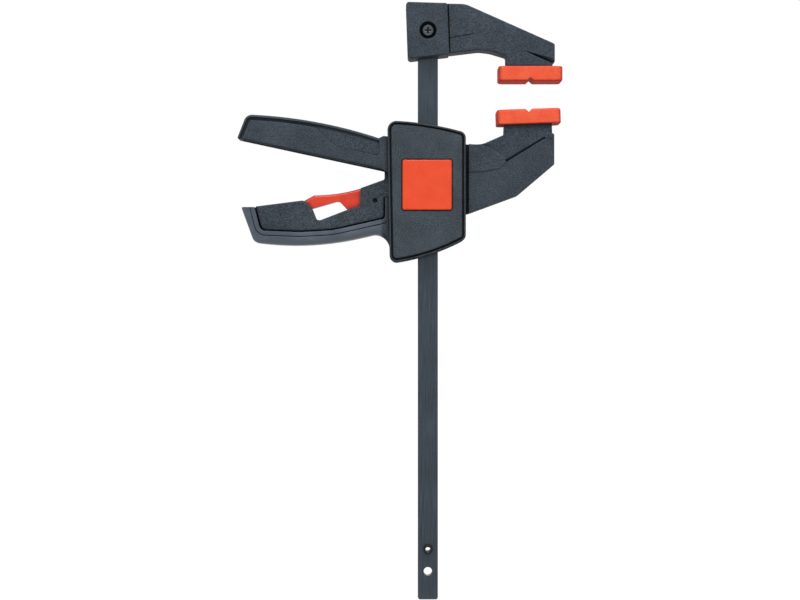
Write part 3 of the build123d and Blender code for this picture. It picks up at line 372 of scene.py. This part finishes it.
def seam_shade_bead(name, depth_mm, route_mm, radius_mm):
    """A round bead along a seam, at one depth, in the inlay's charcoal, standing in for its shade.
    """
    line = bpy.data.curves.new(name, "CURVE")
    line.dimensions = "3D"
    line.bevel_depth = radius_mm * MM
    line.bevel_resolution = 3
    line.use_fill_caps = True
    run = line.splines.new("POLY")
    run.points.add(len(route_mm) - 1)
    for point, (x, z) in zip(run.points, route_mm):
        point.co = ((BAR_X_MM + x) * MM, depth_mm * MM, (PAD_Z_MM + z) * MM, 1.0)
    line.materials.append(charcoal_inlay)
    bead = bpy.data.objects.new(name, line)
    bpy.context.scene.collection.objects.link(bead)
    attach(bead, "moving_jaw")


fitted_spring("drive_spring")
fitted_spring("brake_spring")

# At the handle's tip the seam comes down, rounds the inlay's heel and runs on along the rim.
SEAM_TOP_MM = (-85.97, -49.1)
HEEL_MM = (-80.56, -57.21)  # centre of the heel
HEEL_SEAM_MM = 3.175  # from there to the middle of the seam
HEEL_DEGREES = [194.7 + 12.15 * step for step in range(7)]
SEAM_END_MM = (-79.5, -60.45)
heel = [
    (HEEL_MM[0] + HEEL_SEAM_MM * cos(radians(turn)), HEEL_MM[1] + HEEL_SEAM_MM * sin(radians(turn)))
    for turn in HEEL_DEGREES
]
# The bead stands in for the shade in this seam.
seam_shade_bead("tip_seam_bead", 0.0, [SEAM_TOP_MM, *heel, SEAM_END_MM], radius_mm=0.45)

# At the neck, beside the housing, the seam turns a square corner on both faces of the handle.
NECK_SEAM_MM = [(-21.43, -45.8), (-21.43, -43.93), (-20.4, -43.93)]
NECK_DEPTH_MM = 3.65
# These beads stand in for the shade in the seam at the neck.
seam_shade_bead("front_neck_bead", -NECK_DEPTH_MM, NECK_SEAM_MM, radius_mm=0.42)
seam_shade_bead("rear_neck_bead", NECK_DEPTH_MM, NECK_SEAM_MM, radius_mm=0.42)


# Floor, light and camera -------------------------------------------------------------------

PAPER_GLOW = 0.86  # the rest of the paper takes light and so keeps the clamp's faint shadow
AMBIENT = 0.29  # light from all round, where 1 is white
FLOOR_SIZE = 60.0  # metres, so that the paper's rim is out of every view
FLOOR_GAP_MM = 0.2


def backdrop_rays(tree):
    """1 for rays that show the backdrop: straight to the eye, mirrored or through glass."""
    rays = add(tree, "ShaderNodeLightPath")
    mirrored = (rays["Is Glossy Ray"], rays["Is Transmission Ray"])
    shown = add(tree, MATH, mirrored, operation="MAXIMUM")[0]
    return add(tree, MATH, (rays["Is Camera Ray"], shown), operation="MAXIMUM")[0]


def floor_paper():
    """White studio paper: pure white to the eye, with a faint soft shadow under the clamp.

    Light that bounces off it comes from a grey, so that it doesn't flood the clamp from below.
    """
    material = bpy.data.materials.new("white_floor_paper")
    tree = empty_tree(material)
    bounced = add(tree, "ShaderNodeLightPath")["Is Diffuse Ray"]
    tones = {0: bounced, 6: linear("#f2f2f2"), 7: linear("#6a6a6a")}
    shade = add(tree, MIX, tones, data_type="RGBA")[2]
    paper = add(tree, "ShaderNodeBsdfDiffuse", {"Color": shade})[0]
    glow = add(tree, "ShaderNodeEmission", {"Color": linear("#ffffff"), "Strength": 1.0})[0]
    share = add(tree, MATH, (backdrop_rays(tree), PAPER_GLOW), operation="MULTIPLY")[0]
    both = add(tree, "ShaderNodeMixShader", (share, paper, glow))[0]
    add(tree, SURFACE, {"Surface": both})
    return material


under_the_bar = (0, 0, CAD_BOX[0][2] - FLOOR_GAP_MM * MM)
bpy.ops.mesh.primitive_plane_add(size=FLOOR_SIZE, location=under_the_bar)
floor = bpy.context.object
floor.name = "floor"
floor.data.materials.append(floor_paper())
floor.visible_shadow = False  # so that the low front lamp isn't cut off by the paper

world = bpy.data.worlds.new("studio")
bpy.context.scene.world = world
sky = empty_tree(world)
strength = add(sky, RANGE, (backdrop_rays(sky), 0.0, 1.0, AMBIENT, 1.0))[0]
backdrop = add(sky, "ShaderNodeBackground", {"Color": linear("#ffffff"), "Strength": strength})[0]
add(sky, "ShaderNodeOutputWorld", {"Surface": backdrop})

# Broad far lamps: name, the way the light goes, how wide it spreads in degrees, strength.
LAMPS = (
    ("key_from_above", (0.08, 0.75, -1.3), 40, 3.3),
    ("fill_from_front", (-0.1, 1.0, 0.32), 60, 1.0),
    ("rim_from_behind", (-0.4, -1.0, -0.9), 50, 2.3),
    ("left_side", (1.0, 0.12, -0.2), 40, 0.9),
    ("right_side", (-1.0, 0.12, -0.2), 40, 0.9),
)
for name, towards, spread_degrees, energy in LAMPS:
    lamp = bpy.data.lights.new(name, "SUN")
    lamp.angle = radians(spread_degrees)
    lamp.energy = energy
    holder = bpy.data.objects.new(name, lamp)
    bpy.context.scene.collection.objects.link(holder)
    holder.rotation_euler = Vector(towards).to_track_quat("-Z", "Y").to_euler()

# Square on to the front, from far enough that 36 mm of sensor take in 400 mm of clamp.
SENSOR_WIDTH = 36.0
LENS = 100.0
VIEW_CENTRE_X, VIEW_CENTRE_Z = -0.0648, -0.10865
VIEW_DISTANCE = 1.1111
camera_data = bpy.data.cameras.new("camera")
camera_data.sensor_width = SENSOR_WIDTH
camera_data.lens = LENS
camera = bpy.data.objects.new("camera", camera_data)
bpy.context.scene.collection.objects.link(camera)
camera.location = (VIEW_CENTRE_X, -VIEW_DISTANCE, VIEW_CENTRE_Z)
camera.rotation_euler = (pi / 2, 0, 0)
bpy.context.scene.camera = camera
bpy.context.scene.view_settings.view_transform = "Standard"
